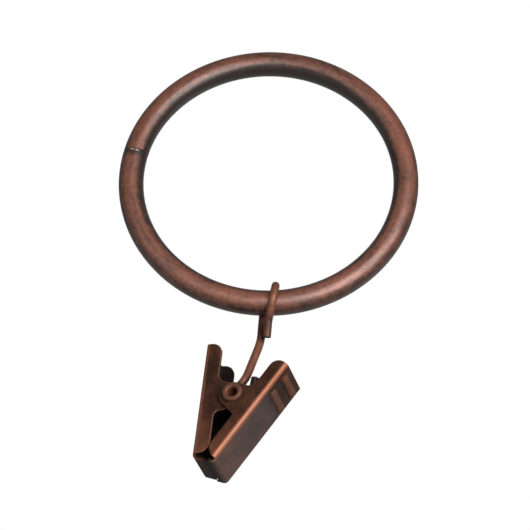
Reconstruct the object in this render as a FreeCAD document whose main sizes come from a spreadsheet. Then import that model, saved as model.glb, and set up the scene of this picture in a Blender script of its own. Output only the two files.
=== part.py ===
import FreeCAD, Part
import math
import os

import Sketcher
from FreeCAD import Placement, Rotation, Vector

# Curtain ring with a hanging clip, in millimetres and degrees.
# The origin is the ring's centre, the curtain rod runs along Y, and the clip hangs down -Z.

doc = FreeCAD.newDocument("curtain_ring_with_clip")
sheet = doc.addObject("Spreadsheet::Sheet", "sizes")

DRIVING_SIZES = {
    # Ring: round bar rolled to a circle, its ends butted in a seam at the left
    "ring_radius": 27.5,      # centre line of the bar
    "bar_radius": 2.5,
    "seam_width": 0.5,
    "seam_depth": 0.25,
    # Hook: round wire with an eye on the bar and an open eye under the pivot
    "hook_angle": 13,         # how far from the ring's lowest point the hook hangs
    "hook_drop": 22.6,        # centre of the bar to the pivot's axis
    "wire_radius": 0.8,
    "eye_gap": 0.1,           # wire to bar where the hook hangs on it
    "eye_slack": 0.15,        # wire to bar at the front and back
    "hook_plane": 1.2,        # lower eye to the clip's middle, towards the front
    "pivot_gap": 0.06,        # wire to eyelet where the clip hangs on it
    # Clip: its attitude on the hook
    "clip_yaw": 13.6,
    "clip_lean": 8.25,
    "jaw_incline": 15.75,     # each jaw's back to the clip's middle plane
    # Jaws: folded sheet channels with ears, measured from the pivot
    "sheet": 0.6,
    "fold_radius": 1.0,       # outside of the folds between back and walls
    "outer_width": 11.0,
    "side_gap": 0.05,         # between the two jaws' ears
    "outer_back": 5.6,        # pivot to the outside of the back
    "inner_back": 6.7,
    "outer_thumb": 10.4,      # pivot to the thumb end
    "inner_thumb": 10.95,
    "outer_length": 13.3,     # pivot to the corner at the gripping end
    "inner_length": 13.0,
    "outer_thumb_edge": 2.67,  # pivot to the free edges of the walls
    "inner_thumb_edge": 3.4,
    "outer_jaw_edge": 2.9,
    "inner_jaw_edge": 3.45,
    "thumb_round": 1.9,
    "wall_stop": 0.72,        # the walls stop this short of the corner
    "wall_round": 2.4,
    "ear_reach": 2.25,        # beyond the pivot
    "ear_round": 2.15,
    "ear_top": 1.7,           # upper corner of the ear, above the pivot
    "ear_top_root": 3.05,
    "ear_blend": 1.6,
    "ear_foot": 2.3,          # lower corner of the ear, below the pivot
    "ear_foot_root": 3.55,
    "outer_ear_fillet": 0.35,
    "inner_ear_fillet": 1.3,
    "pivot_fit": 0.04,        # eyelet to ear, radial
    # Lips: the back's end turned in, with teeth that mesh
    "lip_inset": 0.8,         # lip narrower than the jaw, each side
    "bend_radius": 0.9,
    "tooth_pitch": 2.6,
    "tooth_height": 0.3,
    "tooth_gap": 0.05,
    # Thumb ribs pressed out of the back
    "rib_length": 7.6,
    "rib_width": 2.6,         # at the middle of the sheet
    "rib_height": 0.45,       # above the back
    "hollow_width": 1.55,     # at the inside of the back
    "rib_round": 0.3,
    "rib_first": 2.1,         # thumb end to the first rib's middle
    "rib_spacing": 3.65,
    # Eyelet: tubular rivet with a rolled flange at both ends
    "pivot_radius": 1.25,
    "bore_radius": 1.0,
    "flange_radius": 2.0,
    "flange_height": 0.65,
    "flange_round": 0.45,
    # Spring: close coil on the eyelet with a leg on each thumb arm
    "spring_wire_radius": 0.35,
    "spring_gap": 0.1,        # coil to eyelet
    "leg_gap": 0.05,          # leg to the inside of the back
    "coil_start": 0.15,       # behind the clip's middle
    "coil_pitch": 0.8,
    "leg_end": 6.3,           # along the back from the pivot
}
COIL_TURNS = 3
TOOTH_FLANKS = 10
RIB_COUNT = 2

for row, (alias, number) in enumerate(DRIVING_SIZES.items(), 1):
    sheet.set(f"A{row}", alias)
    sheet.set(f"B{row}", str(number))
    sheet.setAlias(f"B{row}", alias)
doc.recompute()


class Size:
    """A length or angle together with the sheet formula that drives it."""

    def __init__(self, value, formula):
        self.value = value
        self.formula = formula

    def __add__(self, other):
        other = as_size(other)
        return Size(self.value + other.value, f"({self.formula} + {other.formula})")

    def __sub__(self, other):
        other = as_size(other)
        return Size(self.value - other.value, f"({self.formula} - {other.formula})")

    def __mul__(self, other):
        other = as_size(other)
        return Size(self.value * other.value, f"({self.formula} * {other.formula})")

    def __truediv__(self, other):
        other = as_size(other)
        return Size(self.value / other.value, f"({self.formula} / {other.formula})")

    def __neg__(self):
        return Size(-self.value, f"(0 - {self.formula})")


def as_size(number):
    return number if isinstance(number, Size) else Size(number, str(number))


def size(alias):
    return Size(float(sheet.get(alias)), f"sizes.{alias}")


def sine(angle):
    return Size(math.sin(math.radians(angle.value)), f"sin({angle.formula})")


def cosine(angle):
    return Size(math.cos(math.radians(angle.value)), f"cos({angle.formula})")


def tangent(angle):
    return Size(math.tan(math.radians(angle.value)), f"tan({angle.formula})")


def bind(feature, name, driver):
    """Set a feature's size and tie it to the sheet."""
    setattr(feature, name, driver.value)
    feature.setExpression(name, driver.formula)


def place(feature, x, y, z, yaw=None, pitch=None):
    """Put a finished piece at a point that follows the sheet."""
    for axis, driver in zip("xyz", (x, y, z)):
        feature.setExpression(f".Placement.Base.{axis}", as_size(driver).formula)
    for turn, driver in (("Yaw", yaw), ("Pitch", pitch)):
        if driver is not None:
            feature.setExpression(f".Placement.Rotation.{turn}", driver.formula)


def new_body(label):
    body = doc.addObject("PartDesign::Body", label)
    body.Label = label
    return body


def new_sketch(body, name, plane, lift=None):
    """A sketch on one of the body's own planes, lifted along that plane's normal."""
    sketch = body.newObject("Sketcher::SketchObject", name)
    support = [item for item in body.Origin.OriginFeatures if item.Role == plane][0]
    sketch.AttachmentSupport = [(support, "")]
    sketch.MapMode = "FlatFace"
    if lift is not None:
        sketch.setExpression(".AttachmentOffset.Base.z", lift.formula)
    return sketch


def fix_point(sketch, element, end, point):
    """Hold a point of the sketch at distances from the origin."""
    for kind, driver in zip(("DistanceX", "DistanceY"), point):
        driver = as_size(driver)
        index = sketch.addConstraint(Sketcher.Constraint(kind, -1, 1, element, end, driver.value))
        sketch.setExpression(f"Constraints[{index}]", driver.formula)


def add_loop(sketch, corners):
    """A closed outline of straight sides, each corner driven by the sheet."""
    first = sketch.GeometryCount
    points = [Vector(as_size(x).value, as_size(y).value, 0) for x, y in corners]
    count = len(points)
    for start, end in zip(points, points[1:] + points[:1]):
        sketch.addGeometry(Part.LineSegment(start, end))
    for side in range(count):
        following = first + (side + 1) % count
        sketch.addConstraint(Sketcher.Constraint("Coincident", first + side, 2, following, 1))
    for side, corner in enumerate(corners):
        fix_point(sketch, first + side, 1, corner)


def add_circle(sketch, centre, radius):
    element = sketch.addGeometry(Part.Circle(Vector(0, 0, 0), Vector(0, 0, 1), radius.value))
    fix_point(sketch, element, 3, centre)
    index = sketch.addConstraint(Sketcher.Constraint("Radius", element, radius.value))
    sketch.setExpression(f"Constraints[{index}]", radius.formula)


def add_arch(sketch, foot, rise, middle, half_width):
    """Closed arch: a straight foot across X and a round crown at a rise beyond it."""
    low = Vector(foot.value, (middle - half_width).value, 0)
    high = Vector(foot.value, (middle + half_width).value, 0)
    crown = Vector((foot + rise).value, middle.value, 0)
    base = sketch.addGeometry(Part.LineSegment(low, high))
    arch = sketch.addGeometry(Part.Arc(low, crown, high))
    fix_point(sketch, base, 1, (foot, middle - half_width))
    fix_point(sketch, base, 2, (foot, middle + half_width))
    for end in (1, 2):
        sketch.addConstraint(Sketcher.Constraint("Coincident", arch, end, base, end))
    radius = (half_width * half_width + rise * rise) / (rise * 2)
    number = sketch.addConstraint(Sketcher.Constraint("Radius", arch, radius.value))
    sketch.setExpression(f"Constraints[{number}]", radius.formula)


def extrude(body, kind, name, sketch, length, sides="Symmetric", backwards=False):
    """Pad or Pocket a sketch by a length, about its plane or to one side."""
    feature = body.newObject(f"PartDesign::{kind}", name)
    feature.Profile = sketch
    feature.SideType = sides
    feature.Reversed = backwards
    bind(feature, "Length", length)
    doc.recompute()
    return feature


def round_edges(body, name, radius, chosen):
    """Round the edges of the body so far whose ends all satisfy a test."""
    base = body.Tip
    edges = []
    for number, edge in enumerate(base.Shape.Edges, 1):
        ends = [vertex.Point for vertex in edge.Vertexes]
        if chosen(edge, ends):
            edges.append(f"Edge{number}")
    if not edges:
        raise RuntimeError(f"{name}: no edge to round")
    feature = body.newObject("PartDesign::Fillet", name)
    feature.Base = (base, edges)
    bind(feature, "Radius", radius)
    doc.recompute()


def near(a, b):
    return abs(a - b) < 1e-4


def across(*places):
    """Edges that run across the width at given points of the side view."""
    spots = [(as_size(x).value, as_size(z).value) for x, z in places]

    def test(edge, ends):
        if len(ends) != 2 or near(ends[0].y, ends[1].y):
            return False
        return any(all(near(end.x, x) and near(end.z, z) for end in ends) for x, z in spots)

    return test


def along(x, y):
    """Edges that run lengthwise at a distance from the pivot and from the middle."""

    def test(edge, ends):
        if len(ends) != 2 or near(ends[0].z, ends[1].z):
            return False
        return all(near(end.x, x.value) and near(abs(end.y), y.value) for end in ends)

    return test


# Where the pieces stand
BAR_X = size("ring_radius") * sine(size("hook_angle"))
BAR_Z = -(size("ring_radius") * cosine(size("hook_angle")))
PIVOT_Z = BAR_Z - size("hook_drop")
CLIP_YAW = -size("clip_yaw")
CLIP_TURN = Rotation(CLIP_YAW.value, size("clip_lean").value, 0)


def make_ring():
    """Round bar rolled to a circle, with a shallow groove where its ends are butted."""
    body = new_body("ring")
    section = new_sketch(body, "bar_section", "XY_Plane")
    add_circle(section, (size("ring_radius"), 0), size("bar_radius"))
    bar = body.newObject("PartDesign::Revolution", "rolled_bar")
    bar.Profile = section
    bar.ReferenceAxis = (section, ["V_Axis"])
    doc.recompute()
    whole = bar.Shape.Volume

    seam = new_sketch(body, "seam_section", "XZ_Plane")
    centre = -size("ring_radius")
    floor = centre - size("bar_radius") + size("seam_depth")
    mouth = centre - size("bar_radius") - size("seam_depth")
    add_loop(seam, [(floor, 0), (mouth, size("seam_width")), (mouth, -size("seam_width"))])
    axis = seam.addGeometry(Part.LineSegment(Vector(centre.value, -1, 0), Vector(centre.value, 1, 0)), True)
    fix_point(seam, axis, 1, (centre, -1))
    fix_point(seam, axis, 2, (centre, 1))
    groove = body.newObject("PartDesign::Groove", "seam_groove")
    groove.Profile = seam
    groove.ReferenceAxis = (seam, ["Axis0"])
    doc.recompute()
    if not groove.Shape.Volume < whole:
        raise RuntimeError("the seam cuts nothing")
    return body


def press_ribs(body, label, back, thumb):
    """Round ribs pressed out of the back under the thumb, hollow behind."""
    thickness = size("sheet")
    height = size("rib_height")
    length = size("rib_length")
    for name, process, foot, rise, width, reach in (
            ("rib", "Pad", back - thickness / 2, height + thickness / 2, size("rib_width"), length),
            ("rib_hollow", "Pocket", back - thickness, height, size("hollow_width"), length - thickness * 2)):
        pressed = new_sketch(body, f"{label}_{name}_section", "XZ_Plane")
        for number in range(RIB_COUNT):
            middle = thumb - size("rib_first") - size("rib_spacing") * number
            add_arch(pressed, foot, rise, middle, width / 2)
        before = body.Shape.Volume
        extrude(body, process, f"{label}_{name}", pressed, reach)
        if near(body.Shape.Volume, before):
            raise RuntimeError(f"{label}: the {name} changes nothing")

    def on_rib_end(edge, ends):
        proud = edge.valueAt((edge.FirstParameter + edge.LastParameter) / 2).x > back.value + height.value / 2
        return proud and all(near(abs(end.y), length.value / 2) for end in ends)

    round_edges(body, f"{label}_rib_ends", size("rib_round"), on_rib_end)


def make_jaw(label, width, yaw, pitch, ribbed):
    """Sheet channel with ears, folded from one blank.

    X points from the pivot to the back, Z to the thumb end and Y across the width.
    """
    body = new_body(label)
    kind = label.split("_")[0]
    incline = size("jaw_incline")
    thickness = size("sheet")
    back = size(f"{kind}_back")
    inside = back - thickness
    thumb = size(f"{kind}_thumb")
    wall_end = size("wall_stop") - size(f"{kind}_length")
    thumb_edge = size(f"{kind}_thumb_edge")
    jaw_edge = size(f"{kind}_jaw_edge")
    ear_edge = -size("ear_reach")

    # Side view of the walls and ears, as a block of the full width
    thumb_corner = (thumb_edge, thumb)
    ear_root = (thumb_edge, size("ear_top_root"))
    ear_top = (ear_edge, size("ear_top"))
    ear_foot = (ear_edge, -size("ear_foot"))
    foot_root = (jaw_edge, -size("ear_foot_root"))
    wall_corner = (jaw_edge, wall_end)
    side = new_sketch(body, f"{label}_side", "XZ_Plane")
    add_loop(side, [(back, thumb), thumb_corner, ear_root, ear_top, ear_foot, foot_root,
                    wall_corner, (back, wall_end)])
    extrude(body, "Pad", f"{label}_block", side, width)
    round_edges(body, f"{label}_thumb_round", size("thumb_round"), across(thumb_corner))
    round_edges(body, f"{label}_ear_blend", size("ear_blend"), across(ear_root))
    round_edges(body, f"{label}_ear_round", size("ear_round"), across(ear_top, ear_foot))
    round_edges(body, f"{label}_ear_fillet", size(f"{kind}_ear_fillet"), across(foot_root))
    round_edges(body, f"{label}_wall_round", size("wall_round"), across(wall_corner))

    round_edges(body, f"{label}_folds", size("fold_radius"), along(back, width / 2))

    # Inside of the channel, open at both ends
    half_inside = width / 2 - thickness
    channel = new_sketch(body, f"{label}_channel_outline", "YZ_Plane", inside)
    add_loop(channel, [(half_inside, thumb + thickness), (-half_inside, thumb + thickness),
                       (-half_inside, wall_end - thickness), (half_inside, wall_end - thickness)])
    extrude(body, "Pocket", f"{label}_channel", channel, back * 2, "One side")
    round_edges(body, f"{label}_inner_folds", size("fold_radius") - thickness, along(inside, half_inside))

    # Lip: the back carried past the walls and turned in, square to the clip's middle plane
    corner_z = -size(f"{kind}_length")
    reach = back * cosine(incline) + corner_z * sine(incline)
    lip = reach + size("tooth_height")
    end_x = back - lip * cosine(incline)
    end_z = corner_z - lip * sine(incline)
    inner_z = corner_z + thickness * (cosine(incline) - tangent(incline) + sine(incline) * tangent(incline))
    overlap_z = wall_end + size("wall_round")
    strip = new_sketch(body, f"{label}_lip_section", "XZ_Plane")
    add_loop(strip, [(back, overlap_z), (back, corner_z), (end_x, end_z),
                     (end_x - thickness * sine(incline), end_z + thickness * cosine(incline)),
                     (inside, inner_z), (inside, overlap_z)])
    extrude(body, "Pad", f"{label}_lip", strip, width - size("lip_inset") * 2)
    round_edges(body, f"{label}_bend", size("bend_radius"), across((back, corner_z)))
    round_edges(body, f"{label}_inner_bend", size("bend_radius") - thickness, across((inside, inner_z)))

    # Teeth: a zigzag cut along the lip's edge, the same on both jaws so that they mesh
    parting = back - reach * cosine(incline) + size("tooth_gap")
    zigzag = []
    for flank in range(-TOOTH_FLANKS // 2, TOOTH_FLANKS // 2):
        side_of_line = 1 if flank % 2 == 0 else -1
        zigzag.append((parting + size("tooth_height") * side_of_line,
                       size("tooth_pitch") * (flank + 0.5) / 2))
    clear_x = end_x - size("tooth_height") * 2
    teeth = new_sketch(body, f"{label}_teeth_outline", "XY_Plane", wall_end - size("tooth_height"))
    add_loop(teeth, zigzag + [(clear_x, zigzag[-1][1]), (clear_x, zigzag[0][1])])
    untoothed = body.Shape.Volume
    extrude(body, "Pocket", f"{label}_teeth", teeth, size("wall_round"), "One side")
    if not body.Shape.Volume < untoothed:
        raise RuntimeError("the teeth cut nothing")

    # Hole for the eyelet through both ears
    hole = new_sketch(body, f"{label}_pivot_outline", "XZ_Plane")
    add_circle(hole, (0, 0), size("pivot_radius") + size("pivot_fit"))
    extrude(body, "Pocket", f"{label}_pivot_hole", hole, width * 2)

    if ribbed:
        press_ribs(body, label, back, thumb)
    place(body, BAR_X, 0, PIVOT_Z, yaw, pitch)
    return body


def make_eyelet():
    """Tubular rivet through the four ears, rolled over to a rounded flange at both ends."""
    body = new_body("pivot_eyelet")
    bore = size("bore_radius")
    tube = size("pivot_radius")
    flange = size("flange_radius")
    grip = size("outer_width") / 2 + size("side_gap")
    crown = grip + size("flange_height")
    section = new_sketch(body, "eyelet_section", "XY_Plane")
    add_loop(section, [(bore, -crown), (flange, -crown), (flange, -grip), (tube, -grip),
                       (tube, grip), (flange, grip), (flange, crown), (bore, crown)])
    turned = body.newObject("PartDesign::Revolution", "turned_eyelet")
    turned.Profile = section
    turned.ReferenceAxis = (section, ["V_Axis"])
    doc.recompute()

    def on_crown(edge, ends):
        return all(near(abs(end.y), crown.value) for end in ends)

    round_edges(body, "rolled_flanges", size("flange_round"), on_crown)
    place(body, BAR_X, 0, PIVOT_Z, CLIP_YAW, size("clip_lean"))
    return body


def rounded_path(points):
    """Edges of straight runs joined by tangent arcs; each point is (place, bend radius)."""
    edges = []
    start = points[0][0]
    for index in range(1, len(points) - 1):
        corner, radius = points[index]
        back_way = (points[index - 1][0] - corner).normalize()
        on_way = (points[index + 1][0] - corner).normalize()
        half = back_way.getAngle(on_way) / 2
        tangent_length = radius / math.tan(half)
        middle = (back_way + on_way).normalize()
        first = corner + back_way * tangent_length
        last = corner + on_way * tangent_length
        crest = corner + middle * (radius / math.sin(half) - radius)
        if start.distanceToPoint(first) > 1e-6:
            edges.append(Part.LineSegment(start, first).toShape())
        edges.append(Part.Arc(first, crest, last).toShape())
        start = last
    edges.append(Part.LineSegment(start, points[-1][0]).toShape())
    return edges


def make_wire(label, edges, radius, yaw=None, pitch=None, drop=None):
    """Round wire swept along a path, from one cut end to the other."""
    path = doc.addObject("Part::Feature", f"{label}_path")
    path.Shape = Part.Wire(edges)
    start = edges[0].valueAt(edges[0].FirstParameter)
    heading = edges[0].tangentAt(edges[0].FirstParameter)
    section = doc.addObject("Part::Circle", f"{label}_section")
    section.Placement = Placement(start, Rotation(Vector(0, 0, 1), heading))
    bind(section, "Radius", radius)
    wire = doc.addObject("Part::Sweep", label)
    wire.Label = label
    wire.Sections = [section]
    wire.Spine = (path, [f"Edge{number}" for number in range(1, len(edges) + 1)])
    wire.Solid = True
    place(wire, BAR_X, 0, drop, yaw, pitch)
    doc.recompute()
    expected = sum(edge.Length for edge in edges) * math.pi * radius.value ** 2
    if abs(wire.Shape.Volume / expected - 1) > 0.01:
        raise RuntimeError(f"{label}: the sweep has the wrong volume")
    return wire


def make_hook():
    """Wire hook: an eye on the bar with its tail beside the shank, and an open eye under the pivot.

    The points are measured from the bar's centre, X to the right and Y to the back.
    """
    wire = size("wire_radius").value
    bar = size("bar_radius").value
    side = bar + wire + size("eye_slack").value
    slope = math.radians(size("hook_angle").value)
    crossing = 0.7
    crown = crossing * math.tan(slope) + (bar + wire + size("eye_gap").value) / math.cos(slope)
    cradle = size("pivot_radius").value + wire + size("pivot_gap").value

    def in_clip(across_jaws, up):
        """A point of the lower eye's plane, measured from the pivot in the clip."""
        local = Vector(across_jaws, -size("hook_plane").value, up)
        return CLIP_TURN.multVec(local) - Vector(0, 0, size("hook_drop").value)

    points = [
        (Vector(1.7, -0.5, -7.45), 0),           # cut end of the tail
        (Vector(1.25, -1.2, -4.3), 1.2),         # tail bent in beside the shank
        (Vector(1.3, -side, -0.6), 2.7),
        (Vector(1.1, -side, crown), side - 0.1),  # over the bar
        (Vector(0.3, side, crown), side - 0.1),
        (Vector(-0.7, side, -0.8), 3.3),
        (Vector(0.6, 1.0, -8.0), 15.0),          # shank
        (in_clip(-0.5, 5.0), 5.0),
        (in_clip(-cradle - 0.1, 1.2), 3.0),
        (in_clip(-cradle - 0.1, -cradle), cradle - 0.05),  # under the pivot
        (in_clip(cradle + 0.1, -cradle), cradle - 0.05),
        (in_clip(cradle + 0.1, 1.0), 3.0),
        (in_clip(1.3, 5.8), 0),                  # cut end
    ]
    return make_wire("wire_hook", rounded_path(points), size("wire_radius"), drop=BAR_Z)


def make_spring():
    """Torsion spring: half turns stepped along the eyelet, with a bent leg on each thumb arm."""
    wire = size("spring_wire_radius").value
    coil = size("pivot_radius").value + size("spring_gap").value + wire
    incline = Rotation(Vector(0, 1, 0), size("jaw_incline").value)
    lining = size("sheet").value + size("leg_gap").value + wire
    half_step = size("coil_pitch").value / 2
    first = size("coil_start").value
    last = first + size("coil_pitch").value * COIL_TURNS

    def leg_points(side, back, depth):
        """Top of the coil, the bend and the end of one leg, in the clip's frame."""
        end = incline.multVec(Vector(back.value - lining, 0, size("leg_end").value))
        way = incline.multVec(Vector(0, 0, 1))
        bend = end - way * ((end.z - coil) / way.z)
        return [Vector(0, depth, coil), Vector(side * bend.x, depth, bend.z),
                Vector(side * end.x, depth, end.z)]

    bend_radius = 3 * wire
    top, bend, end = leg_points(1, size("outer_back"), first)
    edges = rounded_path([(end, 0), (bend, bend_radius), (top, 0)])
    bulge = math.hypot(coil, half_step / 2)
    for half_turn in range(2 * COIL_TURNS):
        depth = first + half_step * half_turn
        up = 1 if half_turn % 2 == 0 else -1
        edges.append(Part.Arc(Vector(0, depth, up * coil),
                              Vector(-up * bulge, depth + half_step / 2, 0),
                              Vector(0, depth + half_step, -up * coil)).toShape())
    top, bend, end = leg_points(-1, size("inner_back"), last)
    edges += rounded_path([(top, 0), (bend, bend_radius), (end, 0)])
    return make_wire("torsion_spring", edges, size("spring_wire_radius"), CLIP_YAW, size("clip_lean"), PIVOT_Z)


outer_width = size("outer_width")
inner_width = outer_width - (size("sheet") + size("side_gap")) * 2
pieces = [
    make_ring(),
    make_hook(),
    make_jaw("outer_jaw", outer_width, CLIP_YAW, size("clip_lean") + size("jaw_incline"), True),
    make_jaw("inner_jaw", inner_width, CLIP_YAW + 180, size("jaw_incline") - size("clip_lean"), False),
    make_eyelet(),
    make_spring(),
]
doc.recompute()

for item in doc.Objects:
    if "Invalid" in item.State or "Error" in item.State:
        raise RuntimeError(f"{item.Name} failed: {item.State}")
for piece in pieces:
    if piece.Shape.isNull() or not piece.Shape.isValid() or len(piece.Shape.Solids) != 1:
        raise RuntimeError(f"{piece.Label} is not one sound solid")

os.makedirs("parts", exist_ok=True)
for piece in pieces:
    piece.Shape.exportStep(f"parts/{piece.Label}.step")
    print(f"{piece.Label}: {piece.Shape.Volume:.1f} mm3")
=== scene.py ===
from math import cos, pi, radians, sin, tan

import bmesh
import bpy
from mathutils import Matrix, Vector


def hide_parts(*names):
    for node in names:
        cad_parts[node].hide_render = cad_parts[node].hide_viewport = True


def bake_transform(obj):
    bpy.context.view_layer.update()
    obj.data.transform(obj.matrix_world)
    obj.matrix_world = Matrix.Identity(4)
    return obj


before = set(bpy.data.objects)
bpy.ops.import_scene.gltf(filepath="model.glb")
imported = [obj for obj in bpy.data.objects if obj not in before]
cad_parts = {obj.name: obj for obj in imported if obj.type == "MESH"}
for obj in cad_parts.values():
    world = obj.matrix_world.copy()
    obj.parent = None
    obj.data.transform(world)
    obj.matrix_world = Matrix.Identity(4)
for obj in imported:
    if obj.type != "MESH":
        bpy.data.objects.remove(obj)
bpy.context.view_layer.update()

# Ring. Steel bar of round section rolled to a circle and butted at the left, plated with copper,
# blackened, rubbed back to brown on its two faces and sealed with satin lacquer.
# Its inside and the outer edge of its bar are painted darker as shade, where the bar turns from the light.
MM = 0.001
RING_RADIUS = 27.5 * MM
BAR_RADIUS = 2.5 * MM
SEAM_SHADOW_AND_PATINA = (-2.2 * MM, -0.4 * MM, -0.1 * MM, 0.3 * MM)
GLINT_HEIGHT = (-0.45 * MM, -0.3 * MM, -0.15 * MM, 0)
GLINT_ACROSS = (0.05 * MM, 0.3 * MM, 0.6 * MM, 1 * MM)
RING_COPPER = (0.27, 0.096, 0.058, 1)
RING_PATINA = (0.017, 0.0095, 0.007, 1)
BARE_STEEL_GLINT = (0.55, 0.51, 0.48, 1)

WORN_EDGE = (0.32, 0.14, 0.085, 1)
EDGE_WEAR = 0.4 * MM
RECESS_REACH = 1.6 * MM
GRAIN_HEIGHT = 0.02 * MM
CLOUDS_PER_METRE = 260
STREAKS_PER_METRE = 1500
SPECKLES_PER_METRE = 1200
STREAK_SQUEEZE = 0.12
PLAIN_RUB = 0.55
CLOUD_RUB = 0.5
EDGE_RUB = 0.6
HOLLOW_PATINA_AND_SHADE = 0.7
SATIN = 0.56


class Tone:
    """A socket of a finish, on which sums can be written; each sum adds a Math node."""

    def __init__(self, tree, socket=None):
        self.tree = tree
        self.socket = socket

    def node(self, kind, settings, inputs, output=0):
        made = self.tree.nodes.new(kind)
        for name, value in settings.items():
            setattr(made, name, value)
        for key, value in inputs.items():
            if isinstance(value, Tone):
                self.tree.links.new(value.socket, made.inputs[key])
            else:
                made.inputs[key].default_value = value
        return Tone(self.tree, made.outputs[output] if made.outputs else None)

    def math(self, operation, first, second=0):
        return self.node("ShaderNodeMath", {"operation": operation}, {0: first, 1: second})

    def __add__(self, other):
        return self.math("ADD", self, other)

    def __sub__(self, other):
        return self.math("SUBTRACT", self, other)

    def __rsub__(self, other):
        return self.math("SUBTRACT", other, self)

    def __mul__(self, other):
        return self.math("MULTIPLY", self, other)

    __radd__ = __add__
    __rmul__ = __mul__

    def between(self, low, high):
        """0 at low, 1 at high, with soft ends."""
        return self.node("ShaderNodeMapRange", {"interpolation_type": "SMOOTHSTEP"},
                         {"Value": self, "From Min": low, "From Max": high})

    def band(self, start, full, fade, end):
        """0 up to start, 1 from full to fade, 0 again from end."""
        return self.between(start, full) * self.between(end, fade)

    def noise(self, scale, detail):
        return self.node("ShaderNodeTexNoise", {}, {"Vector": self, "Scale": scale, "Detail": detail})

    def blend(self, start, end):
        """One colour at 0, the other at 1."""
        return self.node("ShaderNodeMix", {"data_type": "RGBA"}, {0: self, 6: start, 7: end}, 2)

    def parts(self):
        """The X, Y and Z of a vector."""
        split = self.node("ShaderNodeSeparateXYZ", {}, {0: self})
        return [Tone(self.tree, socket) for socket in split.socket.node.outputs]


def new_finish(name):
    """An empty finish and the piece's own coordinates in it."""
    material = bpy.data.materials.new(name)
    material.use_nodes = True
    material.node_tree.nodes.clear()
    start = Tone(material.node_tree)
    return material, start.node("ShaderNodeTexCoord", {}, {}, "Object")


def antique_copper(place, rubbing_way, grain, black, copper, patina, metal, lacquer):
    """Copper rubbed through its black along one way, worn bright on edges, and black in recesses as patina
    and painted shade.
    """
    cloud = place.noise(CLOUDS_PER_METRE, 3)
    streak = rubbing_way.noise(STREAKS_PER_METRE, 4)
    speckle = place.noise(SPECKLES_PER_METRE, 5)
    # Patina and painted shade: hollows are darkened by the ambient occlusion of the piece's own shape.
    hollow_patina_and_shade = 1 - place.node("ShaderNodeAmbientOcclusion", {"samples": 8, "only_local": True},
                            {"Distance": RECESS_REACH}, "AO")
    face = place.node("ShaderNodeNewGeometry", {}, {}, "Normal")
    softened = place.node("ShaderNodeBevel", {"samples": 8}, {"Radius": EDGE_WEAR})
    edge = (1 - place.node("ShaderNodeVectorMath", {"operation": "DOT_PRODUCT"},
                           {0: face, 1: softened}, "Value")).between(0.03, 0.3)
    rubbed = (PLAIN_RUB + (cloud - 0.5) * CLOUD_RUB + (streak + speckle - 1) * grain
              + edge * EDGE_RUB - hollow_patina_and_shade * HOLLOW_PATINA_AND_SHADE - black).between(-0.1, 1.1)
    colour = (edge * rubbed * 0.8).blend(rubbed.blend(patina, copper), WORN_EDGE)
    bump = place.node("ShaderNodeBump", {}, {
        "Strength": 0.3, "Distance": GRAIN_HEIGHT, "Height": streak * 0.5 + speckle * 0.5,
        "Normal": softened})
    return place.node("ShaderNodeBsdfPrincipled", {}, {
        "Base Color": colour, "Metallic": rubbed * metal,
        "Roughness": SATIN - rubbed * 0.06 + (speckle - 0.5) * 0.2, "Normal": bump,
        "Specular IOR Level": 0.08, "Specular Tint": (0.25, 0.2, 0.2, 1),
        "Coat Weight": lacquer, "Coat Roughness": 0.38})


def dress(node, material, shader):
    """A CAD node gets a finish in place of its plain one."""
    shader.node("ShaderNodeOutputMaterial", {}, {"Surface": shader})
    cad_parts[node].data.materials.clear()
    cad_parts[node].data.materials.append(material)


ring_finish, here = new_finish("ring_antique_copper")
ring_x, ring_y, ring_z = here.parts()
from_axis = here.math("SQRT", ring_x * ring_x + ring_z * ring_z)
round_ring = here.math("ARCTAN2", ring_z, ring_x * -1)
along_bar = here.node("ShaderNodeCombineXYZ", {}, {
    "X": round_ring * (RING_RADIUS * STREAK_SQUEEZE), "Y": ring_y, "Z": from_axis})
# Painted shade: the inner side and the outer edge of the bar are darkened in the colour.
inner_shade = (RING_RADIUS - from_axis).between(0.25 * BAR_RADIUS, 0.95 * BAR_RADIUS)
outer_edge_shade = (from_axis - RING_RADIUS).between(0.5 * BAR_RADIUS, BAR_RADIUS)
# The top of the ring is made darker.
darker_top = ring_z.between(0.75 * RING_RADIUS, RING_RADIUS)
seam_side = (ring_x * -1).between(0.5 * RING_RADIUS, 0.6 * RING_RADIUS)
# Below the seam the bar is painted black: patina, and a painted shadow under the seam's groove.
seam_shadow_and_patina = ring_z.band(*SEAM_SHADOW_AND_PATINA) * seam_side
ring_copper = antique_copper(
    here, along_bar, grain=0.8,
    black=inner_shade * 0.7 + outer_edge_shade * 0.4 + darker_top * 0.2 + seam_shadow_and_patina * 0.5,
    copper=RING_COPPER, patina=RING_PATINA, metal=0.6, lacquer=0.95)

# Flecks at the seam's edge: steel worn bare, and a painted highlight where the seam's chamfer catches the
# light.
off_middle = here.math("ABSOLUTE", ring_x + RING_RADIUS)
on_front = (ring_y * -1).between(0.5 * BAR_RADIUS, 0.8 * BAR_RADIUS)
seam_glint = ring_z.band(*GLINT_HEIGHT) * off_middle.band(*GLINT_ACROSS) * on_front * seam_side
bare_steel_glint = here.node("ShaderNodeBsdfPrincipled", {}, {
    "Base Color": BARE_STEEL_GLINT, "Metallic": 0.3, "Roughness": 0.4})
dress("ring", ring_finish, here.node("ShaderNodeMixShader", {}, {0: seam_glint, 1: ring_copper, 2: bare_steel_glint}))

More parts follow.
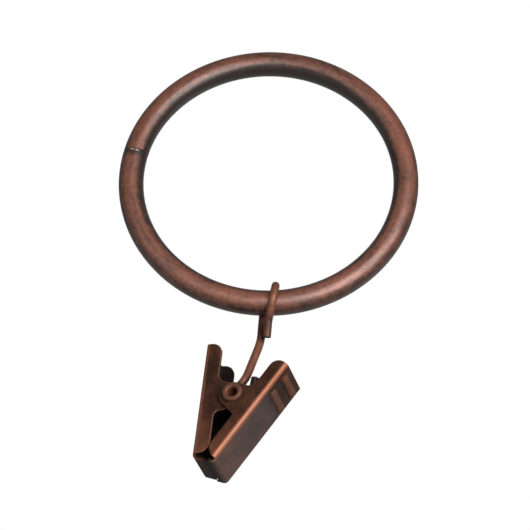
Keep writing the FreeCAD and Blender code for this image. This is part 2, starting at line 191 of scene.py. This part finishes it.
# Wire hook. One length of drawn wire with the same copper finish, rubbed along its length. The upper
# eye hangs on the ring with its tail beside the shank, and the lower eye holds the clip's eyelet.
# The wire is made darker by the tail, and the lower eye and its cut end between the clip's ears are painted
# dark as shade.
TAIL_Z = -32.6 * MM
TAIL_DARKENING = (3.4 * MM, 1.6 * MM)
LOWER_EYE_SHADE = (-44.6 * MM, -46.6 * MM)
CUT_END_X = (6.4 * MM, 7.2 * MM)
CUT_END_HEIGHT = 1.8 * MM
HOOK_COPPER = (0.28, 0.104, 0.060, 1)
HOOK_PATINA = (0.026, 0.012, 0.009, 1)
WIRE_STREAK_SQUEEZE = 0.15

hook_finish, here = new_finish("hook_antique_copper")
along_wire = here.node("ShaderNodeMapping", {}, {"Vector": here, "Scale": (1, 1, WIRE_STREAK_SQUEEZE)})
hook_x, hook_z = here.parts()[::2]
# Darker by the tail.
by_tail = here.math("ABSOLUTE", hook_z - TAIL_Z).between(*TAIL_DARKENING)
# Painted shade: the lower eye and its cut end, between the clip's ears, are darkened.
cut_end = hook_x.between(*CUT_END_X)
shade_in_clip = (hook_z - cut_end * CUT_END_HEIGHT).between(*LOWER_EYE_SHADE)
dress("wire_hook", hook_finish, antique_copper(
    here, along_wire, grain=0.4, black=by_tail * 0.3 + shade_in_clip * 0.9,
    copper=HOOK_COPPER, patina=HOOK_PATINA, metal=0.58, lacquer=0.35))

# Jaws. Two stampings of sheet steel folded to channels with ears for the eyelet, ribs pressed into the
# outer one's thumb end and teeth at the lips; copper plated after folding, black on the walls and at the
# teeth, painted darker inside the channel as shade, and rubbed bright on the folds and the ribs.
PIVOT = Vector((6.1862, 0, -49.3952)) * MM
CLIP_YAW = radians(-13.6)
CLIP_LEAN = radians(8.25)
JAW_INCLINE = radians(15.75)
SHEET = 0.6 * MM
FOLD_RADIUS = 1 * MM
OUTER_BACK = 5.6 * MM
INNER_BACK = 6.7 * MM
UNDER_SKIN = (0.3 * SHEET, 0.8 * SHEET)
FOLD_WEAR = (-0.2 * MM, 0.7 * MM)
RIB_WEAR = (0.1 * MM, 0.4 * MM)
PIVOT_BLACK = (4 * MM, 12 * MM)
THUMB_END = (1 * MM, 7 * MM)
TOOTH_DEPTH = (1.1 * MM, 0.5 * MM)
TOOTH_HEIGHT = (1.8 * MM, 0.9 * MM)
JAW_COPPER = (0.28, 0.104, 0.056, 1)
JAW_PATINA = (0.019, 0.0085, 0.0055, 1)
INNER_SHADE_COLOUR = (0.011, 0.007, 0.006, 1)


def dress_jaw(node, yaw, pitch, back, half_width, length):
    """A jaw's finish, laid out from the pivot to its back, across its walls and up to its thumb end."""
    material, here = new_finish(f"{node}_antique_copper")
    own = here.node("ShaderNodeMapping", {"vector_type": "TEXTURE"},
                    {"Vector": here, "Location": PIVOT, "Rotation": (0, pitch, yaw)})
    along_jaw = here.node("ShaderNodeMapping", {}, {"Vector": own, "Scale": (1, 1, STREAK_SQUEEZE)})
    to_back, across, to_thumb = own.parts()
    past_wall = here.math("MAXIMUM", here.math("ABSOLUTE", across) - (half_width - FOLD_RADIUS))
    past_back = here.math("MAXIMUM", to_back - (back - FOLD_RADIUS))
    depth = FOLD_RADIUS - here.math("SQRT", past_wall * past_wall + past_back * past_back)
    from_lip = to_thumb + length
    past_lip = from_lip + (back - to_back) * tan(JAW_INCLINE)
    to_middle = to_back * cos(JAW_INCLINE) + to_thumb * sin(JAW_INCLINE)
    from_pivot = here.node("ShaderNodeVectorMath", {"operation": "LENGTH"}, {0: own}, "Value")

    # Painted shade: the channel's inner faces get a darker colour and more black.
    inner_shade = depth.between(*UNDER_SKIN) * past_lip.between(*UNDER_SKIN)
    fold = past_wall.between(*FOLD_WEAR) * past_back.between(*FOLD_WEAR)
    rib = (to_back - back).between(*RIB_WEAR)
    # Darker towards the thumb end, with less lacquer on the back there.
    toward_thumb_end = to_thumb.between(*THUMB_END)
    teeth = to_middle.between(*TOOTH_DEPTH) * from_lip.between(*TOOTH_HEIGHT)
    on_back = to_back.between(back - SHEET, back - 0.3 * SHEET)
    black = (0.65 - from_pivot.between(*PIVOT_BLACK) * 0.25 + inner_shade * 0.5 - fold * 0.95 - rib * 0.3
             + toward_thumb_end * 0.15 + teeth * 0.7)
    dress(node, material, antique_copper(
        here, along_jaw, grain=0.2, black=black, copper=JAW_COPPER,
        patina=inner_shade.blend(JAW_PATINA, INNER_SHADE_COLOUR), metal=0.5,
        lacquer=0.1 + on_back * (1 - toward_thumb_end) * 0.5))


dress_jaw("outer_jaw", yaw=CLIP_YAW, pitch=CLIP_LEAN + JAW_INCLINE,
          back=OUTER_BACK, half_width=5.5 * MM, length=13.3 * MM)
dress_jaw("inner_jaw", yaw=CLIP_YAW + pi, pitch=JAW_INCLINE - CLIP_LEAN,
          back=INNER_BACK, half_width=4.85 * MM, length=13 * MM)

# Eyelet. Hollow rivet of thin tube through the four ears, on which the jaws and the hook's eye turn.
# Its ends are rolled over to flanges, and it is rubbed bright there; inside its bore it is painted lighter,
# worn by the hook's eye and painted light where the bore lies in shade.
BORE_RADIUS = 1 * MM
EYELET_COPPER = (0.27, 0.104, 0.064, 1)
EYELET_PATINA = (0.030, 0.015, 0.011, 1)

eyelet_finish, here = new_finish("eyelet_antique_copper")
own = here.node("ShaderNodeMapping", {"vector_type": "TEXTURE"},
                {"Vector": here, "Location": PIVOT, "Rotation": (0, 0, CLIP_YAW)})
across_x, across_z = own.parts()[::2]
from_tube_axis = here.math("SQRT", across_x * across_x + across_z * across_z)
bore_wear_and_light = from_tube_axis.between(1.3 * BORE_RADIUS, BORE_RADIUS)
# Painted light and wear: the bore is made lighter.
dress("pivot_eyelet", eyelet_finish, antique_copper(
    here, here, grain=0.25, black=0.22 - bore_wear_and_light * 0.45,
    copper=EYELET_COPPER, patina=EYELET_PATINA, metal=0.6, lacquer=0.3))

# Spring. Torsion spring of drawn wire wound on the eyelet, one bent leg under each thumb arm.
SPRING_WIRE = 0.35 * MM
COIL_RADIUS = 1.7 * MM
COIL_START = 0.15 * MM
COIL_PITCH = 0.8 * MM
COIL_TURNS = 3
LEG_GAP = 0.05 * MM
LEG_END = 6.3 * MM
LEG_BEND = 3 * SPRING_WIRE
WIRE_SIDES = 12
TURN_STEPS = 32
BEND_STEPS = 10
SPRING_COPPER = (0.22, 0.080, 0.046, 1)
SPRING_PATINA = (0.022, 0.012, 0.010, 1)

on_clip = (Matrix.Translation(PIVOT) @ Matrix.Rotation(CLIP_YAW, 4, "Z")
           @ Matrix.Rotation(CLIP_LEAN, 4, "Y"))


def cut_wire(mesh, depth):
    """A round wire end on top of the coil, at a depth behind the clip's middle."""
    disc = bmesh.ops.create_circle(mesh, cap_ends=True, segments=WIRE_SIDES, radius=SPRING_WIRE)["verts"]
    bmesh.ops.rotate(mesh, verts=disc, matrix=Matrix.Rotation(pi / 2, 3, "Y"))
    bmesh.ops.translate(mesh, verts=disc, vec=(0, depth, COIL_RADIUS))
    return disc[0].link_faces[0]


def end_face(made):
    """The wire's new end among what an operator made."""
    faces = [item for item in made if isinstance(item, bmesh.types.BMFace)]
    return [face for face in faces if len(face.verts) == WIRE_SIDES][0]


def swept(mesh, face, centre, axis, angle, steps, climb=0.0):
    """The wire carried on round a centre, climbing along Y."""
    made = bmesh.ops.spin(mesh, geom=[face, *face.edges, *face.verts], cent=centre, axis=axis, angle=angle,
                          steps=steps, dvec=(0, climb / steps, 0), use_merge=False)
    return end_face(made["geom_last"])


def drawn_on(mesh, face, vec):
    """The wire carried straight on."""
    made = bmesh.ops.extrude_face_region(mesh, geom=[face])["geom"]
    bmesh.ops.translate(mesh, verts=[item for item in made if isinstance(item, bmesh.types.BMVert)], vec=vec)
    bmesh.ops.delete(mesh, geom=[face], context="FACES_ONLY")
    return end_face(made)


def add_leg(mesh, face, side, depth, back):
    """A leg out to its bend and up along the inside of a jaw's back, to its thumb arm."""
    slope, rise = sin(JAW_INCLINE), cos(JAW_INCLINE)
    lining = SHEET + LEG_GAP + SPRING_WIRE
    bend_x = (back - lining + COIL_RADIUS * slope) / rise
    turn = pi / 2 - JAW_INCLINE
    setback = LEG_BEND * sin(turn) / (1 + cos(turn))
    face = drawn_on(mesh, face, (side * (bend_x - setback), 0, 0))
    face = swept(mesh, face, (side * (bend_x - setback), depth, COIL_RADIUS + LEG_BEND), (0, -side, 0),
                 turn, BEND_STEPS)
    reach = LEG_END - (bend_x * slope + COIL_RADIUS * rise) - setback
    drawn_on(mesh, face, (side * reach * slope, 0, reach * rise))


spring_finish, here = new_finish("spring_antique_copper")
here.node("ShaderNodeOutputMaterial", {}, {"Surface": antique_copper(
    here, here, grain=0.4, black=0.4, copper=SPRING_COPPER, patina=SPRING_PATINA, metal=0.5, lacquer=0.15)})

coil_end = COIL_START + COIL_PITCH * COIL_TURNS
wire = bmesh.new()
first = cut_wire(wire, COIL_START)
last = swept(wire, first, (0, 0, 0), (0, 1, 0), -2 * pi * COIL_TURNS,
             TURN_STEPS * COIL_TURNS, COIL_PITCH * COIL_TURNS)
add_leg(wire, last, -1, coil_end, INNER_BACK)
add_leg(wire, first, 1, COIL_START, OUTER_BACK)
bmesh.ops.remove_doubles(wire, verts=wire.verts, dist=SPRING_WIRE / 100)
bmesh.ops.recalc_face_normals(wire, faces=wire.faces)
bmesh.ops.transform(wire, matrix=on_clip, verts=wire.verts)
for face in wire.faces:
    face.smooth = len(face.verts) == 4
data = bpy.data.meshes.new("spring_wire")
wire.to_mesh(data)
wire.free()
data.materials.append(spring_finish)
spring = bpy.data.objects.new("spring_wire", data)
bpy.context.scene.collection.objects.link(spring)
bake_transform(spring)
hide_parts("torsion_spring")

# Studio. A pale floor well below the hanging ring and a white card behind it, both pale to the eye and
# in the metal's mirror. A broad lamp at the viewer's right and a weak one at the upper left light it,
# with a dim panel low at the right, a dim lamp behind and a plain grey room.
FLOOR_Z = -0.8
FLOOR_WIDTH = 40
FLOOR_TONES = (0.54, 0.54, 0.53, 1), (0.57, 0.57, 0.56, 1)
CARD_WIDTH = 0.5
CARD_DISTANCE = 0.8
ROOM_GREY = (0.22, 0.22, 0.225, 1)
LOOK = Vector((-0.1237, 0.8839, 0.4511))
UP = Vector((-0.1989, -0.4675, 0.8614))
RIGHT = Vector((0.9723, 0.0169, 0.2336))
AIM = Vector((0.003, 0, -0.018))
EYE = Vector((0.06706, -0.45214, -0.24946))


def flat_card(name, width, place):
    """A square card that belongs to the stage."""
    card = bmesh.new()
    bmesh.ops.create_grid(card, x_segments=1, y_segments=1, size=width / 2, matrix=place)
    data = bpy.data.meshes.new(name)
    card.to_mesh(data)
    card.free()
    made = bpy.data.objects.new(name, data)
    bpy.context.scene.collection.objects.link(made)
    return made


def facing(direction, place):
    """A place turned so that its Z axis points in a direction."""
    return Matrix.Translation(place) @ direction.to_track_quat("Z", "Y").to_matrix().to_4x4()


def paint_card(card, material, plain, glow, share):
    """A card that takes light as it is, and glows by a share to the eye, in mirrors and through glass."""
    camera, glossy, through = [plain.node("ShaderNodeLightPath", {}, {}, f"Is {kind} Ray")
                               for kind in ("Camera", "Glossy", "Transmission")]
    seen = plain.math("MAXIMUM", plain.math("MAXIMUM", camera, glossy), through) * share
    shown = plain.node("ShaderNodeMixShader", {}, {0: seen, 1: plain, 2: glow})
    plain.node("ShaderNodeOutputMaterial", {}, {"Surface": shown})
    card.data.materials.append(material)


floor = flat_card("floor", FLOOR_WIDTH, Matrix.Translation((0, 0, FLOOR_Z)))
floor_paint, here = new_finish("pale_floor")
mottle = here.noise(3, 2).between(0.2, 0.8).blend(*FLOOR_TONES)
paint = here.node("ShaderNodeBsdfPrincipled", {}, {"Base Color": mottle, "Roughness": 0.9})
glow = here.node("ShaderNodeEmission", {}, {"Color": mottle, "Strength": 1})
paint_card(floor, floor_paint, paint, glow, 0.9)

backdrop = flat_card("backdrop", CARD_WIDTH, facing(-LOOK, AIM + LOOK * CARD_DISTANCE))
white_card, here = new_finish("white_card")
paper = here.node("ShaderNodeBsdfDiffuse", {}, {"Color": (0.8, 0.8, 0.8, 1)})
white = here.node("ShaderNodeEmission", {}, {"Color": (1, 1, 1, 1), "Strength": 1})
paint_card(backdrop, white_card, paper, white, 1)

room = bpy.data.worlds.new("room")
room.use_nodes = True
room.node_tree.nodes.clear()
walls = Tone(room.node_tree)
walls.node("ShaderNodeOutputWorld", {}, {"Surface": walls.node(
    "ShaderNodeBackground", {}, {"Color": ROOM_GREY})})
bpy.context.scene.world = room


def add_lamp(name, right, up, front, distance, width, power):
    """A square lamp at a direction from the object, as the viewer sees it."""
    away = (RIGHT * right + UP * up - LOOK * front).normalized()
    lamp = bpy.data.lights.new(name, "AREA")
    lamp.size = width
    lamp.energy = power
    made = bpy.data.objects.new(name, lamp)
    made.matrix_world = facing(away, AIM + away * distance)
    made.visible_camera = False
    bpy.context.scene.collection.objects.link(made)


add_lamp("key_lamp", right=0.42, up=0.32, front=0.84, distance=0.5, width=0.42, power=4.2)
add_lamp("fill_lamp", right=-0.48, up=0.43, front=0.77, distance=0.6, width=0.3, power=0.5)
add_lamp("side_panel", right=0.74, up=-0.41, front=-0.53, distance=0.7, width=0.6, power=0.4)
add_lamp("back_lamp", right=0.05, up=0.1, front=-0.99, distance=0.7, width=0.6, power=0.4)

lens = bpy.data.cameras.new("photo_camera")
lens.sensor_width = 36
lens.lens = 176.6
lens.clip_start = 0.01
camera = bpy.data.objects.new("photo_camera", lens)
camera.matrix_world = Matrix.Translation(EYE) @ Matrix((RIGHT, UP, -LOOK)).transposed().to_4x4()
bpy.context.scene.collection.objects.link(camera)
bpy.context.scene.camera = camera
bpy.context.scene.view_settings.view_transform = "Standard"
